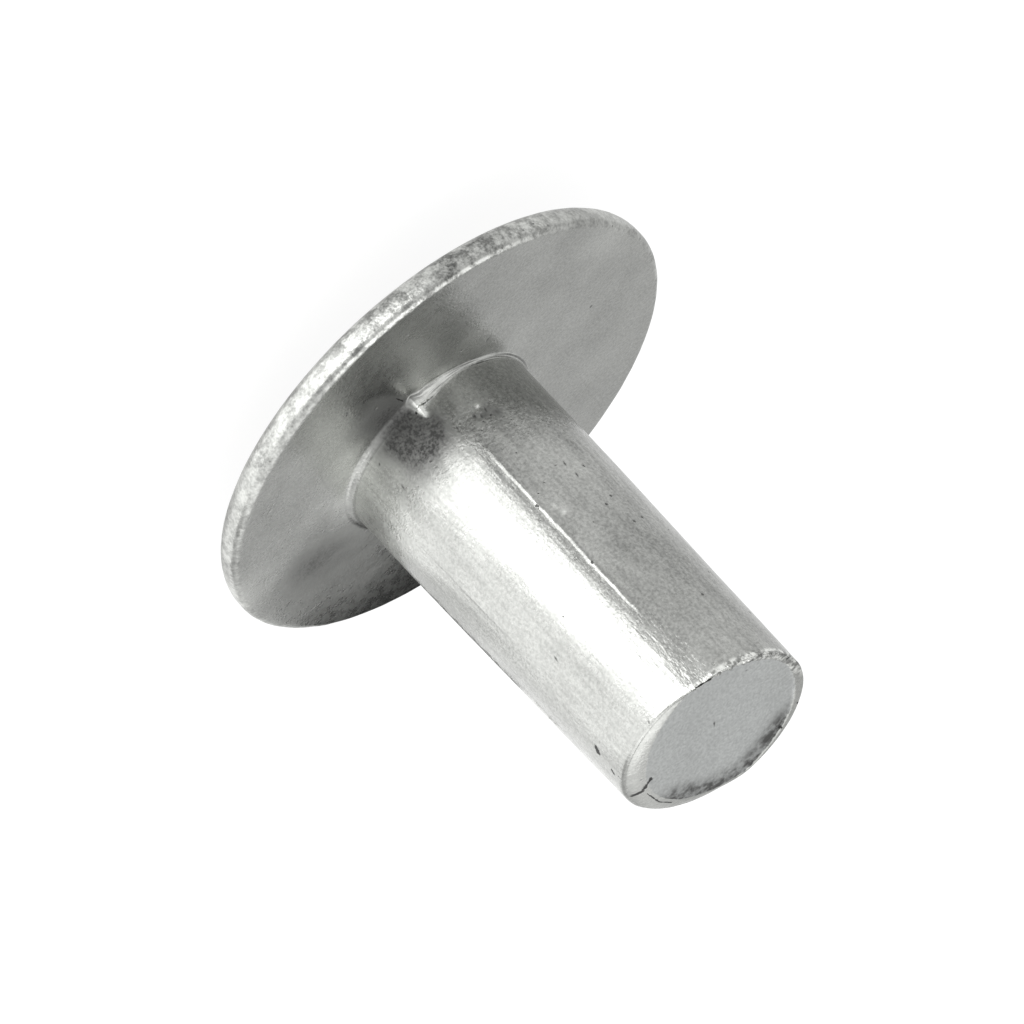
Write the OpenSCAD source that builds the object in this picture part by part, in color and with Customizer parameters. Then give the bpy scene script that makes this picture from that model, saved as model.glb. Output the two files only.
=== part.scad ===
// Brazier head rivet: a low, wide crown on a short round shank, cold-headed in
// one piece from aluminium wire. The shank stands along Z with its sheared end
// up. The bearing face, which clamps the sheet, lies on z = 0, and the crown
// reaches below it.

/* [Shank] */
// Diameter of the straight land just under the head
land_d = 6.5; // [5.5:0.05:8]
// Length of the straight land, from the bearing face
land_len = 3.2; // [2:0.1:6]
// Diameter of the tapered stretch at the sheared end
end_d = 6.2; // [5.2:0.05:8]
// Length of the whole shank along its axis, from the bearing face
shank_len = 12.6; // [11:0.1:40]

/* [Head] */
// Diameter of the head across its rim
head_d = 15.8; // [13:0.1:24]
// Height of the head, from the crown to the bearing face
head_h = 2.75; // [2:0.05:6]
// How far the head sits off the shank's axis, towards -X
head_off = 0.45; // [0:0.01:1]
// Depth below the bearing face at which the upright rim ends
rim_land = 0.42; // [0.3:0.01:0.8]
// Radius of the turn from the rim into the crown
rim_r = 0.55; // [0.2:0.01:0.9]
// Radius of the rim's edge on the bearing side
crease_r = 0.25; // [0.05:0.01:0.28]

/* [Root of the shank] */
// Radius of the fillet that the right half of the die left
collar_right = 0.28; // [0.1:0.01:0.45]
// Radius of the fillet that the left half of the die left
collar_left = 0.25; // [0.1:0.01:0.45]
// Where the two halves meet, in degrees round from -Y towards -X
parting_az = 2; // [-20:1:20]
// How far the burr at that meeting stands off the shank
burr_h = 0.1; // [0.03:0.01:0.2]
// Length of the burr along the shank
burr_len = 0.55; // [0.2:0.05:1.2]
// Width of the burr round the shank
burr_w = 0.18; // [0.1:0.01:0.4]

/* [Die seams] */
// Where the near seam runs, in degrees round from -Y towards -X
seam_az = 14.7; // [5:0.1:60]
// Height of the seam above the shank
seam_h = 0.05; // [0.02:0.01:0.15]
// Width of the seam round the shank
seam_w = 0.14; // [0.08:0.01:0.4]
// Where the seam starts, measured from the bearing face
seam_from = 2.3; // [1:0.1:5]
// Length of the seam
seam_len = 7.7; // [3:0.1:8.5]
// Length over which the seam rises at one end and fades at the other
seam_fade = 1; // [0.2:0.1:1.2]

/* [Sheared end] */
// How far the end face is out of square with the shank, in degrees
end_slope = 4.5; // [0:0.5:8]
// Where the end face is highest, in degrees round from -Y towards -X
end_az = 165; // [-180:1:180]
// Width of the edge that the shear rolled over, at its widest
roll_w = 0.7; // [0.3:0.01:1]
// How far that edge drops below the end face
roll_drop = 0.16; // [0.1:0.01:0.28]
// Radius of the rolled edge's section
roll_r = 1.5; // [1.2:0.05:3]
// Where the roll is widest, in degrees round from -Y towards -X
roll_az = -95; // [-180:1:180]
// Width of the lip that the shear left on the other side
lip_w = 0.3; // [0.1:0.01:0.6]
// Height of that lip above the end face
lip_h = 0.05; // [0.02:0.01:0.1]

/* [Hidden] */
$fn = 144;
land_r = land_d / 2;
end_r = end_d / 2;
head_r = head_d / 2;
// how far one form reaches into the next, so that the two fuse
bite = 0.2;
// room by which a cutter clears the metal
spare = 0.1;

// the crown's circle passes through the crown's lowest point and skims the circle
// of the rim's turn from inside, cutting into it by a hair, so the two blend
skim = 0.004;
turn_x = head_r - rim_r;
turn_up = head_h - rim_land;
inner_r = rim_r - skim;
crown_r = (turn_x * turn_x + turn_up * turn_up - inner_r * inner_r) / (2 * (turn_up - inner_r));
crown_z = crown_r - head_h;
// how far out the two circles meet
touch_x = turn_x + inner_r * turn_x / (crown_r - inner_r);

// how far above the middle of the end face the shank's blank must reach
end_rise = end_r * tan(end_slope) + spare;
end_top = shank_len + end_rise;

// an arc through the widest roll's two edges: its centre, from the end face's middle
roll_chord = sqrt(roll_w * roll_w + roll_drop * roll_drop);
roll_reach = sqrt(roll_r * roll_r - roll_chord * roll_chord / 4);
roll_x = end_r - roll_w / 2 - roll_reach * roll_drop / roll_chord;
roll_z = -roll_drop / 2 - roll_reach * roll_w / roll_chord;
// the cutter is off centre by this much, so the roll fades out on the other side
roll_off = roll_w / 2 + lip_h;

// angle in the XY plane of a place given in degrees round from -Y towards -X
function heading(az) = 270 - az;
// angle that a width takes up round the shank
function arc_of(w) = w / land_r * 180 / PI;
// radius of the shank at a height: straight at first, then a plain taper
function shank_r(z) = z <= land_len ? land_r
    : land_r + (end_r - land_r) * (z - land_len) / (shank_len - land_len);

// half section of the head, crown down
module head_profile() {
    intersection() {
        // the crown
        translate([0, crown_z]) circle(r = crown_r);
        union() {
            translate([0, -head_h - spare]) square([touch_x, turn_up + spare]);
            // the rim's turn
            intersection() {
                translate([turn_x, -rim_land]) circle(r = rim_r);
                translate([turn_x, -rim_land - rim_r]) square([rim_r, rim_r]);
            }
            // the upright rim, with its bearing edge rounded
            difference() {
                translate([0, -rim_land]) square([head_r, rim_land]);
                difference() {
                    translate([head_r - crease_r, -crease_r]) square(crease_r + spare);
                    translate([head_r - crease_r, -crease_r]) circle(r = crease_r);
                }
            }
        }
    }
}

module head() {
    translate([-head_off, 0, 0]) rotate_extrude() head_profile();
}

// the shank as the die left it, before the ends are dressed
module shank_blank() {
    rotate_extrude()
        polygon([[0, -bite], [land_r, -bite], [land_r, land_len], [shank_r(end_top), end_top],
                 [0, end_top]]);
}

// half a turn of hollow fillet at the root: it cuts a hair into the shank and into the
// bearing face, and comes out of each at the stated size
module root_collar(c, start) {
    ease = c / 4;
    out = c + ease;
    rotate_extrude(angle = 180, start = start)
        difference() {
            translate([0, -bite]) square([land_r + out, out + bite]);
            translate([land_r + out, out]) circle(r = sqrt(out * out + ease * ease));
        }
}

// sliver of metal squeezed out where the two halves of the die meet, thinning upwards
module burr() {
    turn = arc_of(burr_w);
    top = collar_right + burr_len;
    // the crest runs on a little below the shank's surface, so it comes out of it cleanly
    sink = burr_h / 20;
    sunk = top + burr_len / 10;
    rotate_extrude(angle = turn, start = heading(parting_az) - turn / 2)
        polygon([[land_r - bite / 2, -bite / 2], [land_r + burr_h, -bite / 2],
                 [land_r + burr_h, 0], [land_r + burr_h / 2, collar_right],
                 [land_r - sink, sunk], [land_r - bite / 2, sunk]]);
}

// raised line that follows the shank and its taper, fading out at both ends
module seam(az) {
    turn = arc_of(seam_w);
    top = seam_from + seam_len;
    rise = seam_from + seam_fade;
    fall = top - seam_fade;
    knee = min(max(land_len, rise + spare), fall - spare);
    rotate_extrude(angle = turn, start = heading(az) - turn / 2)
        polygon([[shank_r(seam_from) - bite, seam_from], [shank_r(seam_from), seam_from],
                 [shank_r(rise) + seam_h, rise], [shank_r(knee) + seam_h, knee],
                 [shank_r(fall) + seam_h, fall], [shank_r(top), top],
                 [shank_r(top) - bite, top]]);
}

// puts a cutter made about the origin on the end face, with its slope
module on_end() {
    high = heading(end_az);
    translate([0, 0, shank_len]) rotate([0, 0, high]) rotate([0, -end_slope, 0])
        rotate([0, 0, -high]) children();
}

// takes off the blank above the end face
module end_cutter() {
    cylinder(r = end_r + 2 * end_rise, h = 2 * end_rise + spare);
}

// ring that takes off the rolled edge: full on one side, clear of the other
module roll_cutter() {
    ring_x = roll_x + roll_off;
    rotate([0, 0, heading(roll_az)]) translate([-roll_off, 0, 0]) rotate_extrude()
        difference() {
            translate([ring_x, roll_z]) square([roll_r + end_r, roll_r + end_r]);
            translate([ring_x, roll_z]) circle(r = roll_r);
        }
}

// shallow disc that leaves a crescent lip opposite the roll
module lip_cutter() {
    rotate([0, 0, heading(roll_az)]) translate([lip_w / 2 + spare, 0, -lip_h])
        cylinder(r = end_r - lip_w / 2 + spare, h = lip_h + spare);
}

module rivet() {
    color([0.78, 0.78, 0.77]) union() {
        head();
        difference() {
            shank_blank();
            on_end() {
                end_cutter();
                roll_cutter();
                lip_cutter();
            }
        }
        root_collar(collar_left, heading(parting_az));
        root_collar(collar_right, heading(parting_az) + 180);
        burr();
        seam(seam_az);
        seam(seam_az + 180);
    }
}

rivet();
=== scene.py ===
import math
import random

import bpy
import numpy as np
from mathutils import Matrix, Vector


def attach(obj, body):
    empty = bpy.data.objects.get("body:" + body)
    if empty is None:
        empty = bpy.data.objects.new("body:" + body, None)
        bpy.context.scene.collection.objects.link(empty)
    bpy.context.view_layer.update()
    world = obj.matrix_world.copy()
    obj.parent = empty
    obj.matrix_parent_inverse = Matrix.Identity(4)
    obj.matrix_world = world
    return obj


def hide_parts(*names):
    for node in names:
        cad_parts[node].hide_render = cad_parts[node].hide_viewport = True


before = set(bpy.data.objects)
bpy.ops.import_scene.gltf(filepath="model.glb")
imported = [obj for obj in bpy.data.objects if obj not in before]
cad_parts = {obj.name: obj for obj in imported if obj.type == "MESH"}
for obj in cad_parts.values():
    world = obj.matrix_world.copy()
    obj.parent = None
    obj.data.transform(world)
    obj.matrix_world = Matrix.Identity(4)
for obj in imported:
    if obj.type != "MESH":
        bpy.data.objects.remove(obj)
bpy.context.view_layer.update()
scene = bpy.context.scene
scene.view_settings.view_transform = "Standard"

# sizes are in millimetres and angles in degrees, round from the front (-Y) towards -X
mm = 0.001  # Blender's unit is the metre


class Field:
    # a socket that adds, multiplies and so on by making Math nodes
    def __init__(self, tree, socket):
        self.tree, self.socket = tree, socket

    def calc(self, operation, *others):
        node = self.tree.nodes.new("ShaderNodeMath")
        node.operation = operation
        for place, value in enumerate((self,) + others):
            feed(self.tree, node.inputs[place], value)
        return Field(self.tree, node.outputs[0])

    def __add__(self, other):
        return self.calc("ADD", other)

    def __radd__(self, other):
        return self.calc("ADD", other)

    def __sub__(self, other):
        return self.calc("SUBTRACT", other)

    def __rsub__(self, other):
        return (self * -1) + other

    def __mul__(self, other):
        return self.calc("MULTIPLY", other)

    def __rmul__(self, other):
        return self.calc("MULTIPLY", other)

    def __truediv__(self, other):
        return self.calc("DIVIDE", other)

    def __rtruediv__(self, other):
        return self.calc("POWER", -1.0) * other

    def atLeast(self, other):
        return self.calc("MAXIMUM", other)

    def atMost(self, other):
        return self.calc("MINIMUM", other)

    def ramp(self, low, high, start=0.0, end=1.0, smooth=True):
        node = self.tree.nodes.new("ShaderNodeMapRange")
        node.interpolation_type = "SMOOTHSTEP" if smooth else "LINEAR"
        for name, value in (("Value", self), ("From Min", low), ("From Max", high),
                            ("To Min", start), ("To Max", end)):
            feed(self.tree, node.inputs[name], value)
        return Field(self.tree, node.outputs["Result"])


def feed(tree, socket, value):
    if isinstance(value, Field):
        tree.links.new(value.socket, socket)
    else:
        socket.default_value = value


def step(tree, kind, **inputs):
    # one node with its inputs set or linked by name; names are written with _ for a blank
    node = tree.nodes.new(kind)
    for name, value in inputs.items():
        feed(tree, node.inputs[name.replace("_", " ")], value)
    return Field(tree, node.outputs[0])


def joinXyz(tree, x, y, z):
    return step(tree, "ShaderNodeCombineXYZ", X=x, Y=y, Z=z)


def splitXyz(tree, vector):
    node = tree.nodes.new("ShaderNodeSeparateXYZ")
    feed(tree, node.inputs[0], vector)
    return [Field(tree, out) for out in node.outputs]


def heading(angle):
    # angle in the XY plane of a place given in degrees round from -Y towards -X
    return (270 - angle) * (math.pi / 180)


# the rivet's form
rivetForm = {
    "landDiameter": 6.5, "landLength": 3.2, "endDiameter": 6.2, "shankLength": 12.6,
    "headDiameter": 15.8, "headHeight": 2.75, "headOffset": 0.45,
    "rimLand": 0.42, "rimRound": 0.55, "creaseRound": 0.25,
    "crownSkim": 0.004,        # how far the crown's sphere cuts into the rim's turn
    "filletLeft": 0.25, "filletRight": 0.15, "filletAtParting": 0.36,
    "partingAngle": 2.0,       # where the two halves of the die met
    "burrHeight": 0.20, "burrLength": 0.45, "burrWidth": 0.26,
    "burrTurn": 2.2,           # how far round from the parting the burr's crest lies
    "swellFrom": 0.3, "swellTo": 2.0,          # where the right fillet swells, round the shank
    "seamAngle": 14.7, "seamHeight": 0.045, "seamWidth": 0.10,
    "seamStart": 2.3, "seamLength": 7.7, "seamFade": 1.0, "seamSway": 2.4,
    "dieLineAngle": -47.8, "dieLineFrom": 6.6, "dieLineTo": 7.4,     # it fades out between
    "edgeLineAngle": -79.0,
    "endSlope": 4.5, "endHighAngle": 165.0,
    "rollWidth": 0.7, "rollFade": 0.62, "rollAngle": -85.0,
    "bendDepth": 0.5, "bendTurn": 58.0,        # the roll's depth over its width, and its arc
    "lipWidth": 0.3, "lipHeight": 0.05, "edgeRound": 0.05,
    "stepsAround": 420,
    "shankRipple": 0.016, "rimRipple": 0.012, "faceRipple": 0.008, "endRipple": 0.02,
    "seed": 7,
}
# rows of points in each stretch of the half section, and where the wall's rows lie closer
sectionRows = {
    "crown": 14, "rimTurn": 11, "rimLand": 5, "crease": 8, "face": 32, "fillet": 8,
    "root": 22, "wall": 80, "endWall": 18, "edge": 8, "endRing": 20, "endDisc": 14,
    "rootFrom": 0.34, "rootTo": 1.5, "endBand": 1.2, "discRadius": 2.2,
}


def stretch(count, first=False):
    # shares of the way along a stretch, without its start where the one before ends there
    shares = np.linspace(0, 1, count)
    return shares if first else shares[1:]


def crownRows(form, rows):
    # from the crown's lowest point out along its sphere and round the turn to the rim
    turnX = form["headDiameter"] / 2 - form["rimRound"]
    turnUp = form["headHeight"] - form["rimLand"]
    inner = form["rimRound"] - form["crownSkim"]
    crownR = (turnX ** 2 + turnUp ** 2 - inner ** 2) / (2 * (turnUp - inner))
    crownZ = crownR - form["headHeight"]
    lean = math.asin(min(1, turnX / (crownR - inner)))
    points = []
    for t in stretch(rows["crown"], first=True):
        a = lean * t
        points.append((crownR * math.sin(a), crownZ - crownR * math.cos(a), 0, 1, 0, 0))
    for t in stretch(rows["rimTurn"]):
        a = lean + (math.pi / 2 - lean) * t
        points.append((turnX + form["rimRound"] * math.sin(a),
                       -form["rimLand"] - form["rimRound"] * math.cos(a), 1, 1, 0, 0))
    return points


def faceRows(form, rows):
    # up the rim, round its edge and in over the bearing face to the root's fillet
    headR, crease = form["headDiameter"] / 2, form["creaseRound"]
    points = []
    for t in stretch(rows["rimLand"]):
        points.append((headR, -form["rimLand"] + (form["rimLand"] - crease) * t, 1, 1, 0, 0))
    for t in stretch(rows["crease"]):
        a = math.pi / 2 * t
        points.append((headR - crease + crease * math.cos(a), -crease + crease * math.sin(a),
                       1 + t, 1, 0, 0))
    # the head's offset dies away over the inner part of the face, so the root stays in place
    faceEdge, fadeOver = headR - crease, 1.6
    faceIn = form["landDiameter"] / 2 + form["filletAtParting"]
    for r in np.linspace(faceEdge, faceIn, rows["face"])[1:]:
        share = min(1, (r - faceIn) / (faceEdge - faceIn) * fadeOver)
        points.append((r, 0, 2, share ** 2 * (3 - 2 * share), 0, 0))
    for t in stretch(rows["fillet"], first=True):
        a = math.pi / 2 * t
        points.append((1 - math.sin(a), 1 - math.cos(a), 2 + t, 0, 0, 1))
    return points


def shankRows(form, rows):
    # up the shank, round its edge and in to the middle of the sheared end
    landR, endR, edge = form["landDiameter"] / 2, form["endDiameter"] / 2, form["edgeRound"]
    shankTop, landTop = form["shankLength"], form["landLength"]
    wallTop, bandFrom = shankTop - edge, shankTop - rows["endBand"]
    points = []
    for z in np.concatenate([np.linspace(rows["rootFrom"], rows["rootTo"], rows["root"]),
                             np.linspace(rows["rootTo"], bandFrom, rows["wall"])[1:],
                             np.linspace(bandFrom, wallTop, rows["endWall"])[1:]]):
        taper = max(0, (z - landTop) / (shankTop - landTop))
        points.append((landR + (endR - landR) * taper, z, 4, 0, z / shankTop, 0))
    for t in stretch(rows["edge"]):
        a = math.pi / 2 * t
        points.append((endR - edge + edge * math.cos(a), wallTop + edge * math.sin(a),
                       4 + t, 0, 1, 0))
    for r in np.concatenate([np.linspace(endR - edge, rows["discRadius"], rows["endRing"])[1:],
                             np.linspace(rows["discRadius"], 0, rows["endDisc"])[1:]]):
        points.append((r, shankTop, 6, 0, 1, 0))
    return points


def sectionMesh(form, rows):
    # each point holds r, z, zone, share of the head's offset, share of the end's slope, and
    # whether r and z are those of a fillet of radius 1; the zones are 0 crown, 1 rim,
    # 2 bearing face, 3 fillet's end, 4 wall, 5 edge and 6 sheared end
    points = np.array(crownRows(form, rows) + faceRows(form, rows) + shankRows(form, rows))
    mesh = bpy.data.meshes.new("rivetSection")
    mesh.from_pydata([(r, 0, z) for r, z in points[:, :2]],
                     [(i, i + 1) for i in range(len(points) - 1)], [])
    for column, name in ((2, "zone"), (3, "offsetShare"), (4, "slopeShare"), (5, "fillet")):
        storeValues(mesh, name, points[:, column])
    return mesh


def storeValues(mesh, name, values):
    layer = mesh.attributes.new(name, "FLOAT", "POINT")
    layer.data.foreach_set("value", values.astype(np.float32))


def lineNoise(tree, along):
    node = tree.nodes.new("ShaderNodeTexNoise")
    node.noise_dimensions = "1D"
    feed(tree, node.inputs["W"], along)
    return Field(tree, node.outputs[0])


def namedField(tree, name):
    node = tree.nodes.new("GeometryNodeInputNamedAttribute")
    node.data_type = "FLOAT"
    node.inputs["Name"].default_value = name
    return Field(tree, node.outputs[0])


def ridges(tree, size, arcFrom, height, zone):
    # the burr at the parting, the two die seams and two fainter lines, as a height
    foot = 0.62                # half of a ridge's foot, as a share of its stated width
    landR = size["landDiameter"] * 0.5
    burrTop = size["burrLength"] + size["filletAtParting"]
    burrWide = size["burrWidth"] * height.ramp(0.1, burrTop, 1.6, 0.5, smooth=False)
    burr = (arcFrom(size["partingAngle"] + size["burrTurn"], landR).ramp(0, burrWide * foot, 1, 0)
            * size["burrHeight"] * height.ramp(0.25, burrTop, 1, 0, smooth=False)
            * zone.ramp(2.0, 2.5) * zone.ramp(4.0, 4.4, 1, 0))
    onShank = zone.ramp(2.6, 3.0) * zone.ramp(4.0, 4.4, 1, 0)
    seamTop = size["seamStart"] + size["seamLength"]
    seamRise = (height.ramp(size["seamStart"], size["seamStart"] + size["seamFade"])
                * height.ramp(seamTop - size["seamFade"], seamTop, 1, 0))
    sway = (lineNoise(tree, height * 0.9) - 0.5) * size["seamSway"]
    ragged = lineNoise(tree, height * 2.6).ramp(0.42, 0.6)

    def ridge(angle, width):
        return arcFrom(angle, landR).ramp(0, width * foot, 1, 0)

    seams = (ridge(size["seamAngle"] + sway, size["seamWidth"])
             + ridge(size["seamAngle"] + 180 + sway, size["seamWidth"])
             + ridge(size["dieLineAngle"] + sway * 0.3, size["seamWidth"]) * 0.6
             * height.ramp(size["dieLineFrom"], size["dieLineTo"], 1, 0)
             + ridge(size["edgeLineAngle"] + sway, size["seamWidth"] * 2) * ragged * 0.8)
    return burr + seams * seamRise * size["seamHeight"] * onShank


def rollEdge(size, fromRoll, zone, radius, height):
    # the wall bends over in one arc on one side of the sheared end, and hardly elsewhere
    endR, edge, leastRoll = size["endDiameter"] * 0.5, size["edgeRound"], 0.03
    rollIn = (size["rollWidth"] - size["rollFade"] * (1 - fromRoll)).atLeast(leastRoll)
    bend = rollIn * size["bendDepth"]
    # way along the section from the middle of the edge: down the wall below 0, inwards above
    along = ((zone - 4.5) * 2 * edge).atMost(edge).atLeast(edge * -1)
    along = along + (height - size["shankLength"] + edge).atMost(0)
    along = along + (endR - edge - radius).atLeast(0) * zone.ramp(4.99, 5.0)
    share = (along + bend) / (rollIn + bend)
    turn = size["bendTurn"] * (math.pi / 180)
    swept = share.atMost(1.0).atLeast(0.0) * turn
    bentR = endR - rollIn * (1 - swept.calc("COSINE")) / (1 - turn.calc("COSINE"))
    bentZ = size["shankLength"] - bend + bend * swept.calc("SINE") / turn.calc("SINE")
    isBent = (share.calc("GREATER_THAN", 0.0) * share.calc("LESS_THAN", 1.0)
              * zone.calc("GREATER_THAN", 3.5))
    return radius + (bentR - radius) * isBent, height + (bentZ - height) * isBent, endR - rollIn


def sinkRipples(tree, size, body):
    # ripples and dimples that tumbling and the die left, always inwards
    spot = step(tree, "GeometryNodeInputPosition")
    zone = namedField(tree, "zone")

    def ripple(scale, detail, drawnOut):
        node = tree.nodes.new("ShaderNodeTexNoise")
        node.noise_dimensions = "4D"
        x, y, z = splitXyz(tree, spot)
        feed(tree, node.inputs["Vector"], joinXyz(tree, x, y, z * drawnOut))
        feed(tree, node.inputs["W"], size["seed"] * 1.0)
        node.inputs["Scale"].default_value = scale
        node.inputs["Detail"].default_value = detail
        return Field(tree, node.outputs[0]).ramp(0.3, 0.7, smooth=False)

    onRim = zone.ramp(0.4, 1.0) * zone.ramp(1.6, 2.0, 1, 0)
    onFace = zone.ramp(1.5, 2.0) * zone.ramp(2.0, 2.4, 1, 0)
    onWall = zone.ramp(3.0, 4.0) * zone.ramp(4.2, 4.8, 1, 0)
    onEnd = zone.ramp(4.4, 5.0)
    sink = (ripple(1.2, 2.0, 0.3) * size["shankRipple"] * onWall
            + ripple(1.9, 4.0, 1.0) * size["rimRipple"] * onRim
            + ripple(0.8, 4.0, 1.0) * size["faceRipple"] * onFace
            + ripple(1.1, 4.0, 1.0) * size["endRipple"] * onEnd)
    push = scaledBy(tree, step(tree, "GeometryNodeInputNormal"), sink * -1)
    return step(tree, "GeometryNodeSetPosition", Geometry=body, Offset=push)


def revolveTree(form):
    # turns the half section round Z, then gives it what the die and the shear left
    tree = bpy.data.node_groups.new("turnedRivet", "GeometryNodeTree")
    tree.interface.new_socket("Geometry", in_out="OUTPUT", socket_type="NodeSocketGeometry")
    tree.interface.new_socket("Geometry", in_out="INPUT", socket_type="NodeSocketGeometry")
    for name, value in form.items():
        kind = "NodeSocketInt" if isinstance(value, int) else "NodeSocketFloat"
        socket = tree.interface.new_socket(name, in_out="INPUT", socket_type=kind)
        socket.default_value = value
    tree.interface.new_socket("skin", in_out="INPUT", socket_type="NodeSocketMaterial")
    entry = tree.nodes.new("NodeGroupInput")
    size = {out.name: Field(tree, out) for out in entry.outputs if out.name}
    section = size["Geometry"]

    # a grid with one column of points for each step round
    domain = tree.nodes.new("GeometryNodeAttributeDomainSize")
    feed(tree, domain.inputs[0], section)
    rows = Field(tree, domain.outputs["Point Count"])
    grid = step(tree, "GeometryNodeMeshGrid", Vertices_X=size["stepsAround"] + 1,
                Vertices_Y=rows)
    index = step(tree, "GeometryNodeInputIndex")
    row = index.calc("MODULO", rows)
    angle = ((index - row) / rows) / size["stepsAround"] * (2 * math.pi)

    def sample(value, kind="FLOAT"):
        node = tree.nodes.new("GeometryNodeSampleIndex")
        node.data_type = kind
        feed(tree, node.inputs["Geometry"], section)
        feed(tree, node.inputs["Value"], value)
        feed(tree, node.inputs["Index"], row)
        return Field(tree, node.outputs[0])

    place = splitXyz(tree, sample(step(tree, "GeometryNodeInputPosition"), "FLOAT_VECTOR"))
    zone, offsetShare, slopeShare, fillet = (
        sample(namedField(tree, n)) for n in ("zone", "offsetShare", "slopeShare", "fillet"))

    def arcFrom(towards, radiusAt):
        # distance across the shank's round from the side that faces an angle
        half = ((angle - heading(towards)) * 0.5).calc("SINE").calc("ABSOLUTE")
        return half * 2 * radiusAt

    # the fillets of the two die halves meet in a step at the parting, and the right one
    # swells towards it
    landR, endR = size["landDiameter"] * 0.5, size["endDiameter"] * 0.5
    side = (angle - heading(size["partingAngle"] + 90)).calc("COSINE")
    onRight = (side * 14 + 0.5).atLeast(0.0).atMost(1.0)       # the step is 4 degrees wide
    swell = arcFrom(size["partingAngle"], landR).ramp(
        size["swellFrom"], size["swellTo"], size["filletAtParting"], size["filletRight"])
    hollow = size["filletLeft"] + (swell - size["filletLeft"]) * onRight
    radius = place[0] + fillet * (landR + hollow * place[0] - place[0])
    height = place[2] + fillet * (hollow * place[2] - place[2])
    radius = radius + ridges(tree, size, arcFrom, height, zone)

    # the rolled edge, and the crescent lip that stands up opposite it
    fromRoll = (angle - heading(size["rollAngle"])).calc("COSINE")
    radius, height, rollStart = rollEdge(size, fromRoll, zone, radius, height)
    # distance from the axis at which the lip begins; on the roll's side it is past the edge
    lipEdge = endR + fromRoll * (size["lipWidth"] * 0.5 + 0.1) - 0.05
    onLip = (radius - lipEdge).ramp(-0.05, 0.05)
    nearEnd = height.ramp(size["shankLength"] - 1, size["shankLength"])
    height = height - ((1 - onLip) * size["lipHeight"] * zone.calc("GREATER_THAN", 3.5)
                       * nearEnd)

    # how far inside the sheared area a place lies, and below 0 outside it
    onTop = zone.ramp(4.5, 4.9)
    sheared = (rollStart.atMost(lipEdge) - radius) * onTop - (1 - onTop)

    x = radius * angle.calc("COSINE")
    y = radius * angle.calc("SINE")
    high = heading(size["endHighAngle"])
    rise = (size["endSlope"] * (math.pi / 180)).calc("TANGENT")
    height = height + slopeShare * rise * (x * high.calc("COSINE") + y * high.calc("SINE"))
    x = x - offsetShare * size["headOffset"]
    body = step(tree, "GeometryNodeSetPosition", Geometry=grid,
                Position=joinXyz(tree, x, y, height))
    for name, value in (("zone", zone), ("sheared", sheared)):
        store = tree.nodes.new("GeometryNodeStoreNamedAttribute")
        store.data_type, store.domain = "FLOAT", "POINT"
        store.inputs["Name"].default_value = name
        feed(tree, store.inputs["Geometry"], body)
        feed(tree, store.inputs["Value"], value)
        body = Field(tree, store.outputs[0])
    body = step(tree, "GeometryNodeMergeByDistance", Geometry=body, Distance=1e-5)
    body = sinkRipples(tree, size, body)
    body = step(tree, "GeometryNodeTransform", Geometry=body, Scale=(mm, mm, mm))
    body = step(tree, "GeometryNodeRealizeInstances", Geometry=body)
    body = step(tree, "GeometryNodeSetMaterial", Geometry=body, Material=size["skin"])
    leave = tree.nodes.new("NodeGroupOutput")
    feed(tree, leave.inputs[0], body)
    return tree


def turnRivet(form, rows, skin):
    tree = revolveTree(form)
    blank = bpy.data.objects.new("rivetBlank", sectionMesh(form, rows))
    scene.collection.objects.link(blank)
    modifier = blank.modifiers.new("turned", "NODES")
    modifier.node_group = tree
    sockets = {item.name: item.identifier for item in tree.interface.items_tree
               if item.in_out == "INPUT"}
    for name, value in form.items():
        modifier[sockets[name]] = value
    modifier[sockets["skin"]] = skin
    seen = blank.evaluated_get(bpy.context.evaluated_depsgraph_get())
    mesh = bpy.data.meshes.new_from_object(seen)
    mesh.name = "rivetBody"
    body = bpy.data.objects.new("rivetBody", mesh)
    scene.collection.objects.link(body)
    bpy.data.objects.remove(blank)
    return body


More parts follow.
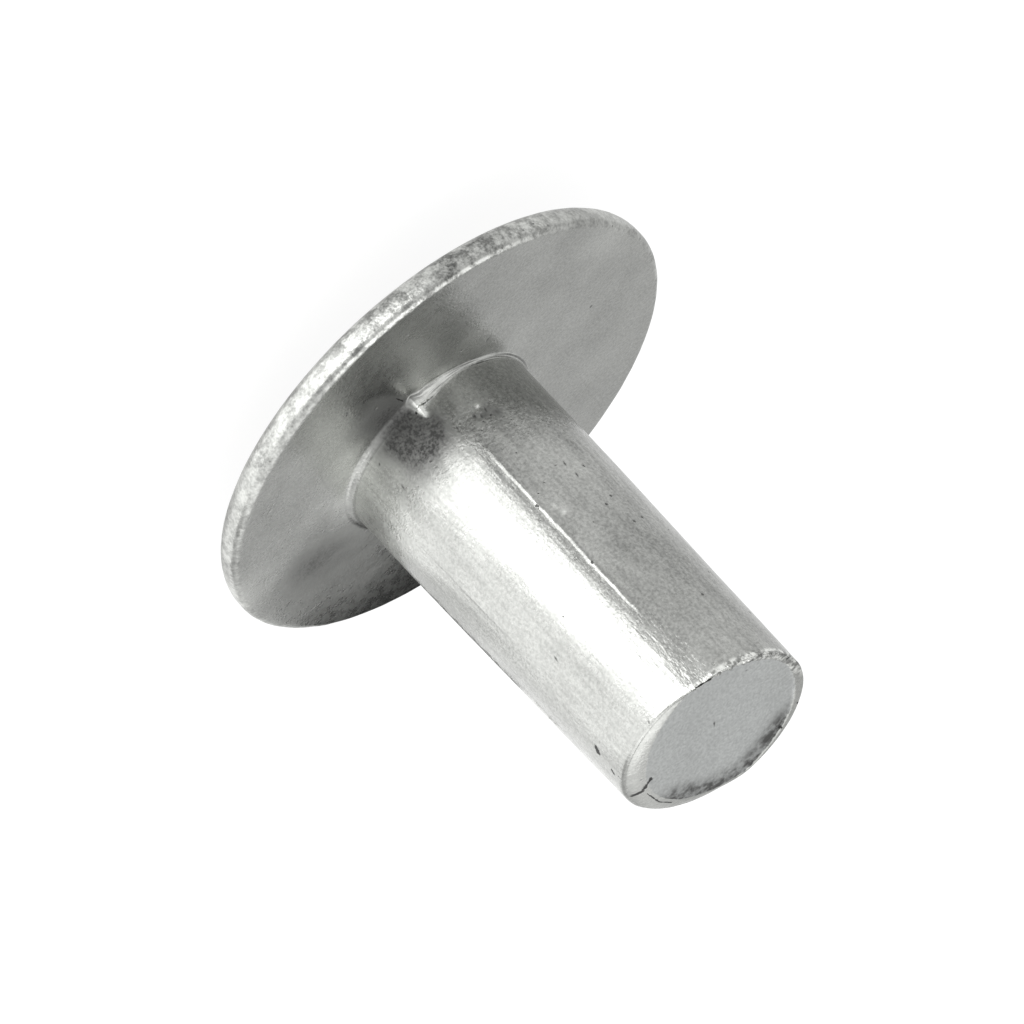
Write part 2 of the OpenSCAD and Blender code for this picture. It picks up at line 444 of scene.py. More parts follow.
# marks left by handling and by the shear, with painted light and shade among the stains; "out" is
# the distance from the shank's axis
marks = {
    # pits on the shank: angle, height, half width, depth
    "pits": [(-59, 7.2, 0.055, 0.04), (-65, 11.3, 0.07, 0.04), (17.5, 5.6, 0.05, 0.03),
             (25, 6.9, 0.055, 0.03), (27, 6.75, 0.04, 0.03), (40, 7.7, 0.05, 0.02),
             (30, 9.5, 0.05, 0.025), (31, 10.6, 0.055, 0.03), (29, 11.2, 0.05, 0.03),
             (22, 1.6, 0.05, 0.03), (25, 1.75, 0.06, 0.04), (29, 1.6, 0.05, 0.03),
             (33, 1.8, 0.06, 0.04), (36, 1.65, 0.05, 0.03), (-9, 1.3, 0.06, 0.02)],
    "randomPits": 16, "randomHalf": (0.03, 0.05), "seed": 11,
    # nodules on the lip: angle from and to, how many, half width, height
    "nodules": (8, 80, 52, 0.095, 0.055),
    # flakes of burr: angle, out, height, half width, how far it stands
    "flakes": [(4.5, 3.30, 0.34, 0.13, 0.09), (9.0, 3.42, 0.14, 0.12, 0.05),
               (-82, 3.08, 12.42, 0.16, 0.05), (20.5, 3.25, 5.35, 0.05, 0.02),
               (22, 3.25, 5.62, 0.06, 0.025), (27, 3.25, 1.35, 0.06, 0.03)],
    # stains and painted light and shade: angle, out, height, half width, strength; the last is
    # below 0 where the tone is lifted, partly as burnish and partly as painted highlight
    "stainsAndPaintedLight": [
        # dark root, partly grime and partly painted shade in the corner under the head, and
        # painted shade for a dark reflection towards the left of the bearing face
        (-12, 3.25, 0.85, 1.1, 1.35), (-5, 3.25, 0.9, 0.6, 0.7), (-36, 3.25, 0.9, 0.6, 0.25),
        (8, 3.25, 1.0, 0.4, 0.4), (50, 3.25, 1.2, 1.0, 0.15), (2, 3.25, 1.4, 0.5, 0.3),
        (-8, 4.3, 0, 0.9, 0.5), (28, 5.2, 0, 1.0, 0.12), (-72, 4.3, 0, 0.6, 0.35),
        (-92, 4.4, 0, 1.2, 0.7), (-92, 5.6, 0, 0.9, 0.5),
        (-110, 4.9, 0, 1.2, 0.3), (-130, 5.6, 0, 0.8, 0.25),
        # dark specks in a row near the root
        (22, 3.25, 1.62, 0.13, 0.9), (27, 3.25, 1.72, 0.17, 0.9), (33, 3.25, 1.85, 0.15, 0.9),
        (31, 3.25, 1.55, 0.12, 0.7),
        # patches of the bearing face, the rim and the root painted brighter, partly as burnish
        # and partly as painted highlight; on the rim's lower edge a painted reflection
        (10, 6.2, 0, 1.5, -0.7), (9, 4.6, 0, 0.7, -0.9), (10, 4.1, 0, 0.4, -1.0),
        (-31, 5.6, 0, 1.2, -0.4), (-36, 4.1, 0, 0.6, -0.8), (38, 4.3, 0, 0.8, -0.6),
        (-80, 7.2, 0, 1.5, -0.45), (-78, 7.9, -0.6, 0.9, -0.6), (75, 7.9, -0.6, 1.0, -0.45),
        (-68, 3.25, 0.9, 1.6, -1.3), (-28, 3.25, 1.1, 0.5, -0.6), (22, 3.25, 1.05, 0.8, -0.9),
        (70, 3.25, 0.9, 1.2, -0.6),
        # painted highlights on the burr, on the fillets beside it and on three flakes, partly as
        # burnish
        (5.0, 3.36, 0.38, 0.18, -3.2), (4.6, 3.3, 0.62, 0.10, -2.6),
        (-25, 3.75, 0, 0.3, -0.5), (-45, 3.75, 0, 0.3, -0.45), (-65, 3.7, 0.1, 0.3, -0.4),
        (12, 3.42, 0.15, 0.35, -1.6), (24, 3.38, 0.1, 0.3, -0.9),
        (20.5, 3.25, 5.35, 0.07, -2.4), (22, 3.25, 5.62, 0.08, -2.4),
        (27, 3.25, 1.35, 0.08, -2.4)],
    # where small pits crowd: angle, out, height, half width
    "pitted": [(24, 3.25, 1.6, 0.35), (30, 3.25, 1.75, 0.35), (35, 3.25, 1.8, 0.3),
               (19, 3.25, 5.4, 0.4), (24, 3.25, 6.5, 0.35), (30, 3.25, 9.8, 0.35),
               (28, 3.25, 10.9, 0.3), (50, 3.25, 10.2, 0.3), (-8, 4.4, 0, 0.5),
               (-30, 7.7, -0.1, 0.4), (12, 7.4, -0.1, 0.4), (25, 7.4, -0.1, 0.4)],
}


def spotAt(angle, out, z):
    return np.array((out * math.cos(heading(angle)), out * math.sin(heading(angle)), z))


def widthsFrom(places, centre, half):
    # how many half widths each place lies from a spot
    return np.linalg.norm(places - centre, axis=1) / half


def sinkPits(places, form, spots, dice):
    # depth of the pits, and how dirty each place in them is
    wanted = [(spotAt(angle, form["landDiameter"] / 2, z), half, depth)
              for angle, z, half, depth in spots["pits"]]
    for _ in range(spots["randomPits"]):
        vertex = dice.randrange(len(places))
        half = dice.uniform(*spots["randomHalf"])
        wanted.append((places[vertex], half, half * 0.4))
    sink, grime = np.zeros(len(places)), np.zeros(len(places))
    for centre, half, depth in wanted:
        fade = np.clip(1 - widthsFrom(places, centre, half) ** 2, 0, 1) ** 1.5
        sink = np.maximum(sink, fade * depth)
        grime = np.maximum(grime, np.clip(fade * 1.6, 0, 1))
    return sink, grime


def raiseNodules(places, form, spots, dice):
    # a ragged row of beads along the lip
    first, last, number, half, rise = spots["nodules"]
    slope = math.tan(math.radians(form["endSlope"]))
    high = heading(form["endHighAngle"])
    raised = np.zeros(len(places))
    for _ in range(number):
        angle = dice.uniform(first, last)
        out = form["endDiameter"] / 2 - dice.uniform(0.02, 0.22)
        centre = spotAt(angle, out, form["shankLength"])
        centre[2] += slope * (centre[0] * math.cos(high) + centre[1] * math.sin(high))
        size = half * dice.uniform(0.5, 1.3)
        fade = np.clip(1 - widthsFrom(places, centre, size) ** 2, 0, 1)
        raised += fade * rise * dice.uniform(0.3, 1.0) * (size / half)
    return raised


def markRivet(mesh, form, spots):
    # dents and beads the mesh along its normals, and stores where it is dirty or burnished and
    # where light and shade are painted
    count = len(mesh.vertices)
    places, normals = np.empty(count * 3), np.empty(count * 3)
    mesh.vertices.foreach_get("co", places)
    mesh.vertex_normals.foreach_get("vector", normals)
    places, normals = places.reshape(-1, 3) / mm, normals.reshape(-1, 3)
    dice = random.Random(spots["seed"])
    sink, grime = sinkPits(places, form, spots, dice)
    sink -= raiseNodules(places, form, spots, dice)
    for angle, out, z, half, rise in spots["flakes"]:
        gap = widthsFrom(places, spotAt(angle, out, z), half)
        sink -= np.clip(1 - gap ** 2, 0, 1) * rise
    places -= normals * sink[:, None]
    mesh.vertices.foreach_set("co", (places * mm).ravel())

    stainAndPaintedLight, pitted = np.zeros(count), np.zeros(count)
    for angle, out, z, half, strength in spots["stainsAndPaintedLight"]:
        stainAndPaintedLight += np.exp(-widthsFrom(places, spotAt(angle, out, z), half) ** 2) * strength
    for angle, out, z, half in spots["pitted"]:
        fade = np.exp(-widthsFrom(places, spotAt(angle, out, z), half) ** 2)
        pitted = np.maximum(pitted, fade)
    for name, values in (("grime", grime), ("stainAndPaintedLight", stainAndPaintedLight), ("pitted", pitted)):
        storeValues(mesh, name, values)
    mesh.update()


# finishes: the formed skin, and the cut metal where the shear went through
formedLook = {
    "tone": (0.383, 0.388, 0.373), "roughness": 0.28,
    "lumpSize": 0.35, "lumpDepth": 0.006,
    "grainSize": 0.048, "grainDepth": 0.0035, "speckle": 0.26,
    "streakDepth": 0.003, "streakTone": 0.09, "scratchDepth": 0.006,
    "pitSpacing": 0.28, "pitShare": 0.35, "pitDepth": 0.015,
    # the dark tone serves for dirt and for painted shade
    "blotch": 0.18, "crackDepth": 0.03, "dirtAndShadeTone": (0.06, 0.06, 0.058),
    # what each kind of wear adds to the lumps, pits and blotches, and to the brightness; the
    # brightness also holds painted light and shade
    "lumpier": {"onRim": 1.5, "torn": 3.0, "onLip": 2.5, "soiledAndShaded": 0.6, "dragged": 4.0},
    "pittier": {"soiledAndShaded": 0.8, "torn": 1.0},
    "blotchier": {"soiledAndShaded": 1.4, "onRim": 1.5},
    # painted light: the rolled edge gets a painted highlight and the crease partly one; the side
    # beyond the seam and the rim get painted shade
    "brighter": {"rolled": 0.42, "wornEdgeAndHighlight": 1.3, "soiledAndShaded": -0.10, "onRim": -0.06},
}
shearedLook = {
    "tone": (0.456, 0.468, 0.461), "roughness": 0.45,
    "lumpDepth": 0.003, "grainDepth": 0.004, "speckle": 0.26,
    "pitShare": 0.15, "blotch": 0.08,
}
# wear, and light or shade painted on one side: the angle it faces, and between which distances
# from the axis it sets in
wornSides = {
    # beyond the seam the skin has more pits and lumps, and painted shade darkens it
    "soiledAndShaded": (45.0, 2.3, 2.8),       # beyond the seam
    "torn": (21.7, 6.3, 7.6),         # of the rim, dragged through the die
    # the rim's crease is rubbed bright and also given a painted highlight
    "crease": (15.0, 6.57, 7.57),     # of the rim's edge, rubbed bright
    "lip": (53.1, 1.7, 2.2),
    # the rolled edge gets a painted highlight
    "roll": (-64.4, 0.8, 2.2),
    "dragged": (9.8, 2.9, 3.08),      # lumpier metal beside the seam, near the end
    "grimy": (-164.9, 0.7, 1.9),      # low side of the cut face
    "scuffed": (-64.4, 3.0, 6.0),     # of the bearing face
}
# cracks and torn nicks: two ends and half width
cracks = [
    ((0.06, -4.0, 0.0), (-0.02, -3.6, 0.05), 0.020),         # beside the burr at the parting
    ((-0.02, -3.6, 0.05), (-0.04, -3.3, 0.40), 0.026),
    ((2.19, -0.63, 12.46), (2.63, -0.31, 12.45), 0.075),     # across the rolled edge
    ((2.63, -0.31, 12.45), (2.92, -0.28, 12.38), 0.080),
    ((2.57, 0.0, 12.50), (2.49, 0.9, 12.57), 0.024),         # along its inner edge
    ((2.49, 0.9, 12.57), (2.26, 1.47, 12.62), 0.026),
    ((-0.54, -3.15, 12.33), (-0.95, -2.9, 12.38), 0.024),    # under the lip
    ((-2.94, -0.61, 12.58), (-3.08, -0.49, 12.55), 0.040),   # nicks in the lip
    ((-2.32, 2.02, 12.78), (-2.36, 2.06, 12.70), 0.050),
    ((-1.48, 2.49, 12.77), (-1.52, 2.55, 12.72), 0.050),
    ((2.71, -1.54, 10.98), (2.76, -1.47, 11.10), 0.075),     # torn spots low on the shank
    ((2.84, -1.28, 11.72), (2.86, -1.23, 11.80), 0.055),
]


def newGroup(name, inputs, outputs):
    # a shader group; an input without a value is a vector
    tree = bpy.data.node_groups.new(name, "ShaderNodeTree")
    for title, value in inputs.items():
        kind = "NodeSocketVector" if value is None else "NodeSocketFloat"
        socket = tree.interface.new_socket(title, in_out="INPUT", socket_type=kind)
        if value is not None:
            socket.default_value = value
    for title in outputs:
        tree.interface.new_socket(title, in_out="OUTPUT", socket_type="NodeSocketFloat")
    entry = tree.nodes.new("NodeGroupInput")
    leave = tree.nodes.new("NodeGroupOutput")
    given = {out.name: Field(tree, out) for out in entry.outputs if out.name}
    return tree, given, leave


def useGroup(tree, group, **inputs):
    node = tree.nodes.new("ShaderNodeGroup")
    node.node_tree = group
    for title, value in inputs.items():
        feed(tree, node.inputs[title.replace("_", " ")], value)
    return {out.name: Field(tree, out) for out in node.outputs}


def scaledBy(tree, vector, factor):
    node = tree.nodes.new("ShaderNodeVectorMath")
    node.operation = "SCALE"
    feed(tree, node.inputs[0], vector)
    feed(tree, node.inputs["Scale"], factor)
    return Field(tree, node.outputs[0])


def noise(tree, vector, scale, detail=2.0, roughness=0.5, warp=0.0):
    return step(tree, "ShaderNodeTexNoise", Vector=vector, Scale=scale, Detail=detail,
                Roughness=roughness, Distortion=warp)


def stored(tree, name):
    node = tree.nodes.new("ShaderNodeAttribute")
    node.attribute_name = name
    return Field(tree, node.outputs["Fac"])


def mixColor(tree, share, first, second):
    node = tree.nodes.new("ShaderNodeMix")
    node.data_type = "RGBA"
    feed(tree, node.inputs["Factor"], share)
    for place, value in ((6, first), (7, second)):       # the two colour sockets
        feed(tree, node.inputs[place], value if isinstance(value, Field) else (*value, 1))
    return Field(tree, node.outputs[2])


def grainGroup():
    # lumps and fine grain of a tumbled skin, as a height in millimetres
    tree, given, leave = newGroup(
        "tumbledGrain",
        {"Place": None, "Lump Size": 0.3, "Lump Depth": 0.005, "Grain Size": 0.05,
         "Grain Depth": 0.002, "Stretch": 1.0}, ("Height", "Blotch", "Speckle"))
    x, y, z = splitXyz(tree, given["Place"])
    drawn = joinXyz(tree, x, y, z * given["Stretch"])
    lumpSize, grainSize = (given[n].atLeast(0.001) for n in ("Lump Size", "Grain Size"))
    lumps = noise(tree, drawn, 0.6 / lumpSize, 4.0, 0.68)
    grain = noise(tree, given["Place"], 0.5 / grainSize, 1.0, 0.7)
    blotch = noise(tree, drawn, 0.16 / lumpSize, 6.0, 0.68)
    feed(tree, leave.inputs["Height"], (lumps - 0.5) * 2 * given["Lump Depth"]
         + (grain - 0.5) * 2 * given["Grain Depth"])
    feed(tree, leave.inputs["Speckle"], grain.ramp(0.3, 0.7, smooth=False))
    feed(tree, leave.inputs["Blotch"], blotch.ramp(0.3, 0.7))
    return tree


def pitGroup():
    # small sharp pits, some of them filled with dirt
    tree, given, leave = newGroup(
        "smallPits", {"Place": None, "Spacing": 0.8, "Share": 0.4}, ("Depth", "Dirt"))
    ragged = noise(tree, given["Place"], 9.0, 2.0)
    node = tree.nodes.new("ShaderNodeTexVoronoi")
    feed(tree, node.inputs["Vector"], given["Place"])
    feed(tree, node.inputs["Scale"], 1 / given["Spacing"])
    gap = Field(tree, node.outputs["Distance"]) * given["Spacing"]
    red, green, blue = splitXyz(tree, Field(tree, node.outputs["Color"]))
    reach = (green * green * 0.045 + 0.028) * (ragged + 0.5)
    inside = (gap / reach).ramp(0.55, 1.0, 1.0, 0.0)
    present = red.calc("LESS_THAN", given["Share"])
    feed(tree, leave.inputs["Depth"], inside * present)
    feed(tree, leave.inputs["Dirt"], inside * present * blue.ramp(0.2, 0.5))
    return tree


def scratchGroup():
    # thin scratches that run mostly one way and come and go
    tree, given, leave = newGroup(
        "handlingScratches", {"Place": None, "Turn": 0.0, "Width": 0.012}, ("Mask",))
    turned = tree.nodes.new("ShaderNodeVectorRotate")
    turned.rotation_type = "Z_AXIS"
    feed(tree, turned.inputs["Vector"], given["Place"])
    feed(tree, turned.inputs["Angle"], given["Turn"])
    x, y, z = splitXyz(tree, Field(tree, turned.outputs[0]))
    drawn = joinXyz(tree, x * 0.22, y * 2.4, z * 2.4)
    line = (noise(tree, drawn, 1.0, 1.0, 0.5, 0.3) - 0.5).calc("ABSOLUTE")
    where = noise(tree, given["Place"], 0.7, 2.0).ramp(0.5, 0.62)
    feed(tree, leave.inputs["Mask"], line.ramp(0.0, given["Width"], 1.0, 0.0) * where)
    return tree


def crackGroup():
    # a ragged dark line between two points
    tree, given, leave = newGroup(
        "crackLine", {"Place": None, "Start": None, "End": None, "Half Width": 0.02}, ("Mask",))

    def vectors(operation, first, second=None, output=0):
        node = tree.nodes.new("ShaderNodeVectorMath")
        node.operation = operation
        feed(tree, node.inputs[0], first)
        if second is not None:
            feed(tree, node.inputs[1], second)
        return Field(tree, node.outputs[output])

    run = vectors("SUBTRACT", given["End"], given["Start"])
    reach = vectors("SUBTRACT", given["Place"], given["Start"])
    share = (vectors("DOT_PRODUCT", reach, run, 1) / vectors("DOT_PRODUCT", run, run, 1))
    share = share.atLeast(0.0).atMost(1.0)
    gap = vectors("LENGTH", vectors("SUBTRACT", reach, scaledBy(tree, run, share)), output=1)
    ragged = noise(tree, given["Place"], 7.0, 3.0)
    width = given["Half Width"] * (ragged * 3.2 - 0.7)
    feed(tree, leave.inputs["Mask"], (gap / width.atLeast(0.001)).ramp(0.6, 1.3, 1.0, 0.0))
    return tree


def wearMasks(tree, place, form, sides):
    # where on the rivet each kind of surface, of wear and of painted light lies, from 0 to 1
    x, y, z = splitXyz(tree, place)
    fromHead = x + form["headOffset"]
    zone = stored(tree, "zone")

    def facing(name, across=x):
        angle, low, high = sides[name]
        away = across * math.cos(heading(angle)) + y * math.sin(heading(angle))
        return away.ramp(low, high)

    high, slope = heading(form["endHighAngle"]), math.tan(math.radians(form["endSlope"]))
    fromEnd = z - (x * math.cos(high) + y * math.sin(high)) * slope - form["shankLength"]
    depthIn = stored(tree, "sheared") + (noise(tree, place, 6.0, 3.0) - 0.5) * 0.10
    isCut = depthIn.ramp(-0.012, 0.012)
    onRim = zone.ramp(0.3, 1.0) * zone.ramp(1.8, 2.0, 1.0, 0.0)
    onWall = zone.ramp(2.9, 3.4) * zone.ramp(4.4, 5.0, 1.0, 0.0)
    frayed = noise(tree, place, 2.6, 4.0, 0.7)
    mottle = noise(tree, place, 2.4, 6.0, 0.7).ramp(0.35, 0.65)
    return {
        "zone": zone, "isCut": isCut, "onRim": onRim, "onWall": onWall,
        "onFace": zone.ramp(1.8, 2.0) * zone.ramp(2.0, 2.3, 1.0, 0.0),
        "inFillet": zone.ramp(2.0, 2.15) * zone.ramp(2.9, 3.2, 1, 0),
        "onLip": facing("lip") * fromEnd.ramp(-0.26, -0.12) * (1 - isCut),
        # the rolled edge, where a highlight is painted
        "rolled": facing("roll") * fromEnd.ramp(-0.32, -0.12) * (1 - isCut),
        "dragged": z.ramp(8.8, 11.0) * facing("dragged"),
        "soiledAndShaded": facing("soiledAndShaded") * onWall,
        "torn": facing("torn", fromHead) * onRim,
        "scuffed": facing("scuffed") * 0.85 + 0.15,
        # the rim's crease: rubbed wear and a painted highlight
        "wornEdgeAndHighlight": ((zone - 1.66).calc("ABSOLUTE").ramp(0.05, 0.24, 1, 0)
                 * (frayed.ramp(0.35, 0.6) * 0.7 + 0.3)
                 * (facing("crease", fromHead) * 0.92 + 0.08)),
        "caked": (facing("grimy") * z.ramp(11.8, 12.2) * isCut
                  * depthIn.ramp(0.15, 1.1, 1, 0) * (mottle * 0.8 + 0.4)),
        "frayed": frayed, "mottle": mottle,
        "tatters": noise(tree, place, 4.5, 3.0, 0.65),
    }


def crackMask(tree, place, group, body):
    # every crack's line, with its ends put on the finished surface
    mask = None
    for start, end, half in cracks:
        start, end = (body.closest_point_on_mesh(Vector(p) * mm)[1] / mm for p in (start, end))
        one = useGroup(tree, group, Place=place, Start=start, End=end, Half_Width=half)["Mask"]
        mask = one if mask is None else mask.atLeast(one)
    return mask


def added(on, shares, start):
    # a start value with a share added for each kind of wear
    for name, share in shares.items():
        start = on[name] * share + start
    return start


def skinDetail(tree, place, on, formed, here, groups, body):
    # grain, pits, scratches, cracks and drawn lines, and the height that they make
    x, y, z = splitXyz(tree, place)
    grain = useGroup(tree, groups["grain"], Place=place, Lump_Size=formed["lumpSize"],
                     Lump_Depth=here["lumpDepth"] * added(on, formed["lumpier"], 1.0),
                     Grain_Size=formed["grainSize"], Grain_Depth=here["grainDepth"],
                     Stretch=1.0 - on["onWall"] * 0.65)
    patchy = noise(tree, place, 0.45, 2.0).ramp(0.42, 0.6)
    pits = useGroup(tree, groups["pits"], Place=place, Spacing=formed["pitSpacing"],
                    Share=here["pitShare"] * added(on, formed["pittier"], 0.15) * patchy
                    + stored(tree, "pitted") * 0.9)
    scratches = useGroup(tree, groups["scratches"], Place=place, Turn=-0.52, Width=0.012)
    scratched = scratches["Mask"] * on["onFace"] * on["scuffed"]
    cracked = crackMask(tree, place, groups["cracks"], body)
    # fine lines that the die drew along the shank
    streaks = noise(tree, joinXyz(tree, x * 7.0, y * 7.0, z * 0.35), 1.0, 3.0, 0.6) - 0.5
    height = (grain["Height"] + streaks * 2 * formed["streakDepth"] * on["onWall"]
              - pits["Depth"] * formed["pitDepth"] - cracked * formed["crackDepth"]
              - scratched * formed["scratchDepth"])
    return {"height": height, "blotch": grain["Blotch"], "speckle": grain["Speckle"],
            "pitDirt": pits["Dirt"], "scratched": scratched, "cracked": cracked,
            "streaks": streaks}


def brightness(tree, place, on, formed, here, detail, stainAndPaintedLight):
    # the tone's factor: more where the metal is burnished or a highlight is painted, as on the
    # rolled edge, the rubbed crease and the lip; less where shade is painted; mottled more where
    # the rim is torn open
    x, y, _ = splitXyz(tree, place)
    # strands of metal that flowed into the right fillet
    strands = noise(tree, joinXyz(tree, x * 0.8, y * 0.8, on["zone"] * 7.0), 1.0, 3.0, 0.6)
    onFillet = ((strands.ramp(0.38, 0.62) - 0.6) * (x * -1).ramp(0.0, 0.5) * 1.1
                - x.ramp(0.0, 0.5) * 0.3) * on["inFillet"]
    # the lip mottled and painted brighter on average, a ragged painted highlight; the rim mottled
    onEdges = (on["onLip"] * (on["tatters"].ramp(0.4, 0.6) * 1.4 - 0.35)
               + (on["frayed"].ramp(0.35, 0.65) - 0.5) * on["onRim"] * (on["torn"] * 0.5 + 0.35))
    patches = ((detail["blotch"] - 0.5) * here["blotch"] * added(on, formed["blotchier"], 1.0)
               + (detail["speckle"] - 0.5) * here["speckle"] * (on["soiledAndShaded"] * 0.4 + 1))
    lines = (detail["scratched"] * 0.22 + detail["streaks"].ramp(-0.2, 0.2, -1, 1, smooth=False)
             * on["onWall"] * formed["streakTone"])
    # painted highlight: where the stains are below 0 the tone is lifted, partly as burnish and
    # partly as a painted highlight
    burnishAndHighlight = (stainAndPaintedLight * -0.6).atLeast(0.0).atMost(1.4)
    return added(on, formed["brighter"], 1.0) + burnishAndHighlight + onFillet + onEdges + patches + lines


def finishMetal(material, formed, cut, groups, body):
    material.use_nodes = True
    tree = material.node_tree
    tree.nodes.clear()
    shader = tree.nodes.new("ShaderNodeBsdfPrincipled")
    out = tree.nodes.new("ShaderNodeOutputMaterial")
    tree.links.new(shader.outputs[0], out.inputs[0])
    coords = tree.nodes.new("ShaderNodeTexCoord")
    place = scaledBy(tree, Field(tree, coords.outputs["Object"]), 1 / mm)
    on = wearMasks(tree, place, rivetForm, wornSides)
    # the look's values at a place: those of the formed skin, or of the cut metal
    here = {name: on["isCut"] * (value - formed[name]) + formed[name]
            for name, value in cut.items() if name != "tone"}
    tone = mixColor(tree, on["isCut"], formed["tone"], cut["tone"])
    detail = skinDetail(tree, place, on, formed, here, groups, body)
    bump = tree.nodes.new("ShaderNodeBump")
    bump.inputs["Strength"].default_value = 1.0
    bump.inputs["Distance"].default_value = mm
    feed(tree, bump.inputs["Height"], detail["height"])
    tree.links.new(bump.outputs[0], shader.inputs["Normal"])

    stainAndPaintedLight, cracked = stored(tree, "stainAndPaintedLight"), detail["cracked"]
    # painted shade: where the stains are above 0 the tone goes towards the dark tone, partly as
    # grime and partly as painted shade at the root, and as painted shade on the left of the
    # bearing face
    stainsAndShade = (stainAndPaintedLight.atLeast(0.0).atMost(1.0)
               * (on["mottle"] * 0.22 + detail["speckle"] * 0.5 + 0.47))
    dirtAndShade = (stored(tree, "grime") + detail["pitDirt"] * 0.8 + cracked * 0.9
            + on["caked"] + stainsAndShade).atMost(1.0)
    shade = brightness(tree, place, on, formed, here, detail, stainAndPaintedLight)
    soiledAndShaded = mixColor(tree, dirtAndShade, scaledBy(tree, tone, shade), formed["dirtAndShadeTone"])
    feed(tree, shader.inputs["Base Color"], scaledBy(tree, soiledAndShaded, 1.0 - cracked * 0.75))
    feed(tree, shader.inputs["Metallic"], 1.0 - dirtAndShade * 0.7)
    feed(tree, shader.inputs["Roughness"], here["roughness"] + (on["mottle"] - 0.5) * 0.08
         + dirtAndShade * 0.25 + on["onRim"] * 0.10)


# lights and floor; these sizes and places are in metres
studio = {
    # levels are brightness as seen in a mirror: 1 shows as white
    "worldLevel": 0.78,
    # soft boxes: level, width and height, and where they stand
    "boxes": {"top": (0.80, (0.28, 0.28), (0.085, 0.025, 0.22)),
              "side": (0.85, (0.26, 0.24), (0.215, -0.10, 0.105))},
    "floorTone": 0.20, "floorGlow": 0.83, "floorForCamera": 0.06, "floorReach": 3.0,
    # light pads that lie on the floor: angle, level, near edge, far edge, width
    "pads": {"near": (-20.0, 1.5, 0.0078, 0.0105, 0.008),
             "front": (-13.0, 2.4, 0.0105, 0.024, 0.015),
             "frontMiddle": (-12.0, 2.75, 0.024, 0.038, 0.027),
             "frontFar": (-9.5, 2.75, 0.038, 0.090, 0.050),
             "left": (-64.0, 0.80, 0.0088, 0.022, 0.022),
             "leftFar": (-72.0, 1.0, 0.022, 0.060, 0.046),
             "leftEdge": (-80.0, 0.80, 0.060, 0.300, 0.200),
             "leftBack": (-140.0, 0.50, 0.020, 0.050, 0.040)},
    "padLift": 0.0004,
    # dark card behind the head, unseen by the camera: painted shade that stands in for the shaded
    # table beside the rivet and shows only as a dark reflection in the metal; where its middle
    # stands, width and height, tone
    "card": ((0.0045, 0.0094, 0.0003), (0.0055, 0.0060), 0.03),
}


def panel(name, level, size, place, target):
    lamp = bpy.data.lights.new(name, "AREA")
    lamp.shape = "RECTANGLE"
    lamp.size, lamp.size_y = size
    lamp.energy = level * math.pi * size[0] * size[1]
    holder = bpy.data.objects.new(name, lamp)
    holder.location = place
    holder.rotation_euler = (Vector(target) - Vector(place)).to_track_quat("-Z", "Y").to_euler()
    holder.visible_camera = False
    scene.collection.objects.link(holder)
    return holder


def lightRoom(look, floorZ):
    world = bpy.data.worlds.new("room")
    world.use_nodes = True
    world.node_tree.nodes["Background"].inputs["Color"].default_value = (1, 1, 1, 1)
    world.node_tree.nodes["Background"].inputs["Strength"].default_value = look["worldLevel"]
    scene.world = world
    shankFoot = (0, 0, 0.005)
    for name, (level, size, place) in look["boxes"].items():
        panel(name + "Box", level, size, place, shankFoot)
    for name, (angle, level, near, far, width) in look["pads"].items():
        a, gap = heading(angle), (near + far) / 2
        pad = panel(name + "Pad", level, (width, far - near),
                    (gap * math.cos(a), gap * math.sin(a), floorZ + look["padLift"]), (0, 0, 1))
        pad.rotation_euler = (math.pi, 0, a + math.pi / 2)       # facing up


def flatPiece(name, corners):
    mesh = bpy.data.meshes.new(name)
    mesh.from_pydata(corners, [], [(0, 1, 2, 3)])
    piece = bpy.data.objects.new(name, mesh)
    scene.collection.objects.link(piece)
    return piece


def standCard(look):
    # a dark card, unseen by the camera, whose reflection paints shade on the bearing face and the
    # shank's edge
    (cardX, cardY, cardZ), (wide, high), tone = look["card"]
    card = flatPiece("darkCard", [(cardX + i * wide / 2, cardY, cardZ + j * high / 2)
                                  for i, j in ((-1, -1), (1, -1), (1, 1), (-1, 1))])
    card.visible_camera = False
    black = bpy.data.materials.new("blackCard")
    black.use_nodes = True
    paint = black.node_tree.nodes["Principled BSDF"]
    paint.inputs["Base Color"].default_value = (tone, tone, tone, 1)
    paint.inputs["Roughness"].default_value = 0.9
    card.data.materials.append(black)


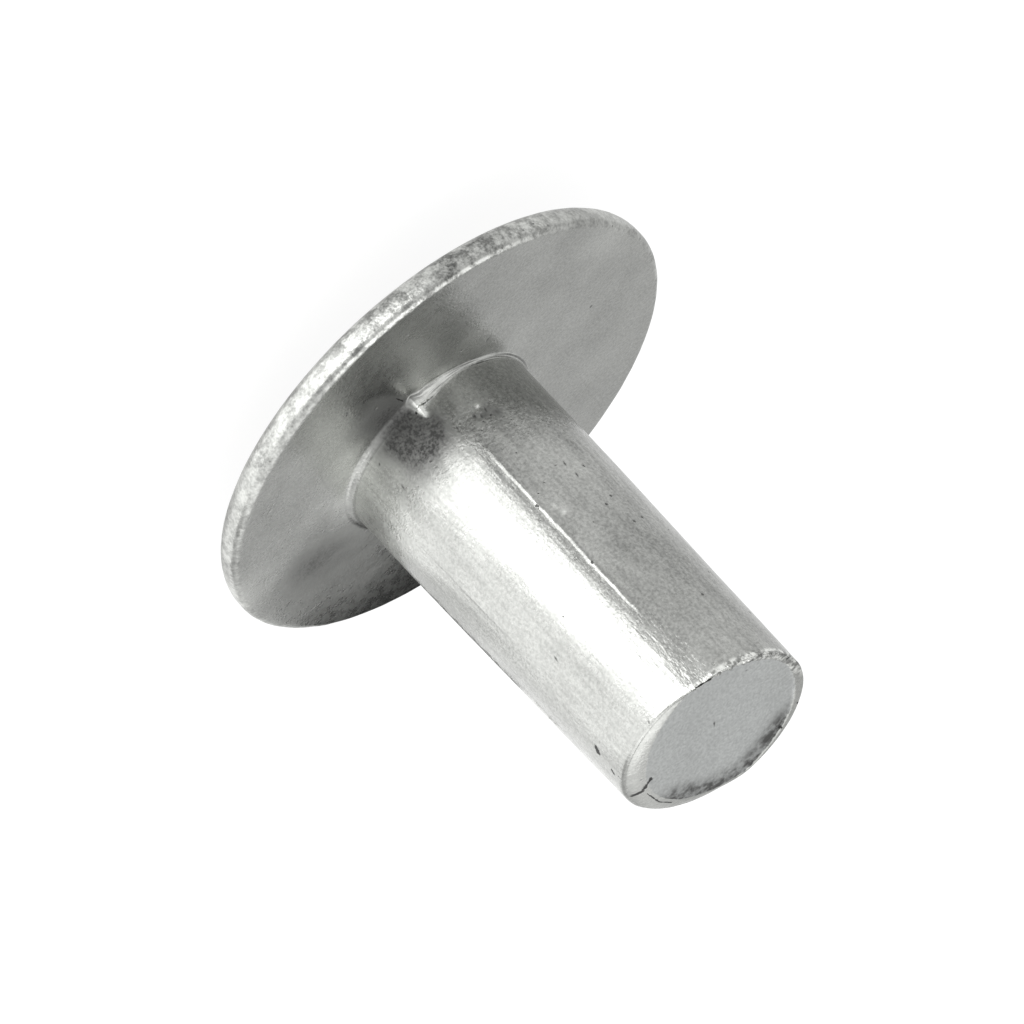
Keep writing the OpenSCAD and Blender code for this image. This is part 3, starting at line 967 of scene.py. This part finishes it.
def layFloor(look, floorZ):
    reach, tone = look["floorReach"], look["floorTone"]
    floor = flatPiece("floor", [(-reach, -reach, floorZ), (reach, -reach, floorZ),
                                (reach, reach, floorZ), (-reach, reach, floorZ)])
    material = bpy.data.materials.new("whiteFloor")
    material.use_nodes = True
    tree = material.node_tree
    tree.nodes.clear()
    paint = tree.nodes.new("ShaderNodeBsdfDiffuse")
    paint.inputs["Color"].default_value = (tone, tone, tone, 1)
    glow = tree.nodes.new("ShaderNodeEmission")
    path = tree.nodes.new("ShaderNodeLightPath")
    byCamera, byGloss, byGlass = (Field(tree, path.outputs[n]) for n in (
        "Is Camera Ray", "Is Glossy Ray", "Is Transmission Ray"))
    seen = byCamera.atLeast(byGloss).atLeast(byGlass)
    feed(tree, glow.inputs["Strength"],
         seen * look["floorGlow"] + byCamera * look["floorForCamera"])
    both = tree.nodes.new("ShaderNodeAddShader")
    out = tree.nodes.new("ShaderNodeOutputMaterial")
    tree.links.new(paint.outputs[0], both.inputs[0])
    tree.links.new(glow.outputs[0], both.inputs[1])
    tree.links.new(both.outputs[0], out.inputs[0])
    floor.data.materials.append(material)


# how the camera looks at the rivet: distance and shifts in metres, lens in millimetres
camera = {"distance": 0.2312, "tilt": 66.19, "roll": 46.70, "side": -0.002127, "rise": 0.002084,
          "lens": 281.25, "sensor": 36}


def placeCamera(look):
    tilt, roll = math.radians(look["tilt"]), math.radians(look["roll"])
    back = Vector((0, -math.sin(tilt), math.cos(tilt)))
    across = Vector((0, math.cos(tilt), math.sin(tilt)))
    left = Vector((-1, 0, 0))
    right = across * math.cos(roll) + left * math.sin(roll)
    up = left * math.cos(roll) - across * math.sin(roll)
    data = bpy.data.cameras.new("camera")
    data.lens, data.sensor_width = look["lens"], look["sensor"]
    data.clip_start, data.clip_end = 0.01, 20
    holder = bpy.data.objects.new("camera", data)
    spot = back * look["distance"] - right * look["side"] - up * look["rise"]
    turn = Matrix((right, up, back)).transposed()
    holder.matrix_world = Matrix.Translation(spot) @ turn.to_4x4()
    scene.collection.objects.link(holder)
    scene.camera = holder


print("turning the rivet")
skin = bpy.data.materials.new("bareAluminium")
rivetBody = turnRivet(rivetForm, sectionRows, skin)
print("marks")
markRivet(rivetBody.data, rivetForm, marks)
rivetBody.data.shade_smooth()
bpy.context.view_layer.update()
print("finishes")
groups = {"grain": grainGroup(), "pits": pitGroup(), "scratches": scratchGroup(),
          "cracks": crackGroup()}
finishMetal(skin, formedLook, shearedLook, groups, rivetBody)
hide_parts("rivet")
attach(rivetBody, "root")
print("rivet:", len(rivetBody.data.polygons), "faces")
print("studio")
floorZ = -rivetForm["headHeight"] * mm
lightRoom(studio, floorZ)
standCard(studio)
layFloor(studio, floorZ)
placeCamera(camera)
